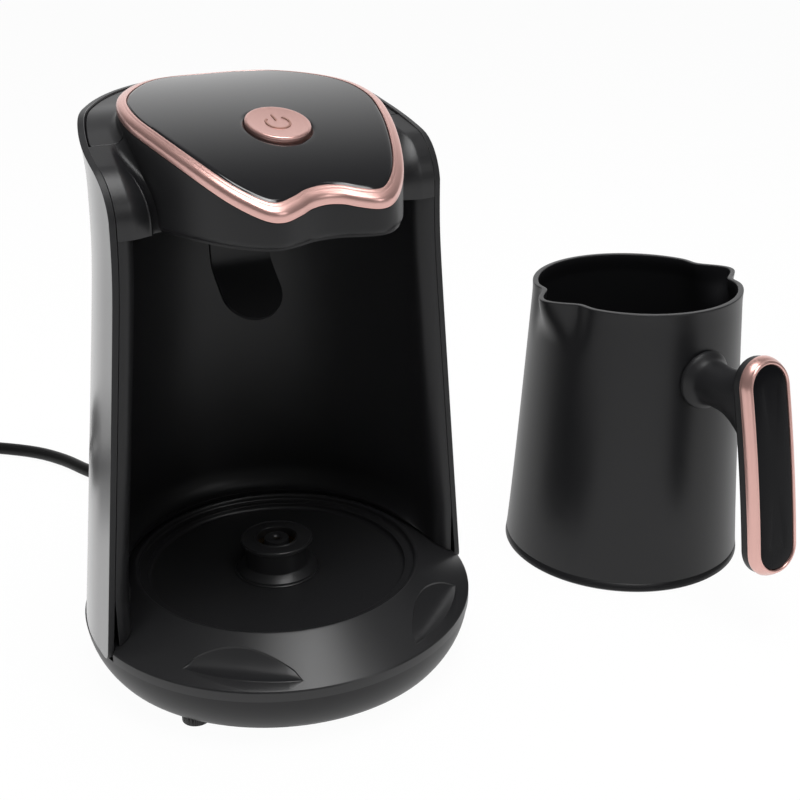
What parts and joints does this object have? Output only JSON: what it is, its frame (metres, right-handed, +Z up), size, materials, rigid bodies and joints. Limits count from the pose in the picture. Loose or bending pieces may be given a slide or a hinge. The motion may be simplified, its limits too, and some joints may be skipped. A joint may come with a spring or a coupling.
{
  "type": "electric turkish coffee maker",
  "caption": "Countertop coffee maker with a round base, half-round column and overhanging head, a spouted pot with a tall grip beside it, and a mains cord.",
  "frame": {"origin": "on the floor, under the middle of the box around the machine and the pot beside it", "axes": "+Z up, -Y the machine's front, +X from the machine towards the pot, to the right as seen from the front"},
  "size_m": [0.3984, 0.3701, 0.2253],
  "materials": {
    "black_plastic": "black moulded plastic, satin",
    "shell_plastic": "polished black plastic",
    "grey_plastic": "dark grey moulded plastic, satin",
    "panel_gloss": "glossy black",
    "rose_metal": "rose-gold metallic paint",
    "pot_coating": "dark grey coating, satin",
    "steel": "steel",
    "plated_steel": "plated",
    "aluminium": "plain",
    "brass": "bright",
    "rubber": "matte",
    "board": "green circuit board",
    "light_plastic": "off-white moulded plastic",
    "lead_insulation": "coloured lead insulation",
    "cord_jacket": "black cord jacket"
  },
  "bodies": {
    "machine": {"base_tub": "black_plastic", "base_cover": "grey_plastic", "feet": "rubber", "base_screws": "steel", "connector_tower": "black_plastic", "tower_nut": "grey_plastic", "contact_rings": "brass", "centre_pin": "brass", "power_board": "board", "relay": "black_plastic", "terminal_block": "light_plastic", "mains_leads": "lead_insulation", "outer_shell": "shell_plastic", "cavity_liner": "black_plastic", "shoulder_covers": "grey_plastic", "top_cover": "grey_plastic", "wiring_loom": "lead_insulation", "head_housing": "grey_plastic", "head_screws": "steel", "trim_ring": "rose_metal", "top_panel": "panel_gloss", "switch_body": "black_plastic", "control_board": "board", "buzzer": "black_plastic", "board_screws": "steel", "sensor_hood": "black_plastic", "sensor_probe": "steel", "strain_relief": "rubber", "cord": "cord_jacket", "cord_coil": "cord_jacket", "cord_tail": "cord_jacket", "cord_tie": "rubber", "plug_body": "rubber", "plug_pins": "plated_steel"},
    "button": {"power_button": "rose_metal", "switch_plunger": "light_plastic"},
    "pot": {"pot_body": "pot_coating", "pot_skirt_ring": "pot_coating", "heater_plate": "aluminium", "heating_element": "steel", "thermal_cutout": "light_plastic", "pot_connector": "black_plastic", "pot_contacts": "brass", "pot_base_cover": "black_plastic", "pot_base_screws": "steel", "handle": "black_plastic", "handle_boss": "steel", "handle_bolt": "steel", "grip_frame": "rose_metal", "grip_inlay": "black_plastic"}
  },
  "joints": [
    {"name": "power_button_press", "type": "slide", "parent": "machine", "child": "button", "axis": [0, 0.3053, -0.9523], "range_m": [0, 0.0012], "stiffness_N_per_m": 1500, "springref_m": -0.0006},
    {"name": "pot_lift", "type": "slide", "parent": "machine", "child": "pot", "axis": [0, 0, 1], "range_m": [0, 0.12]}
  ]
}
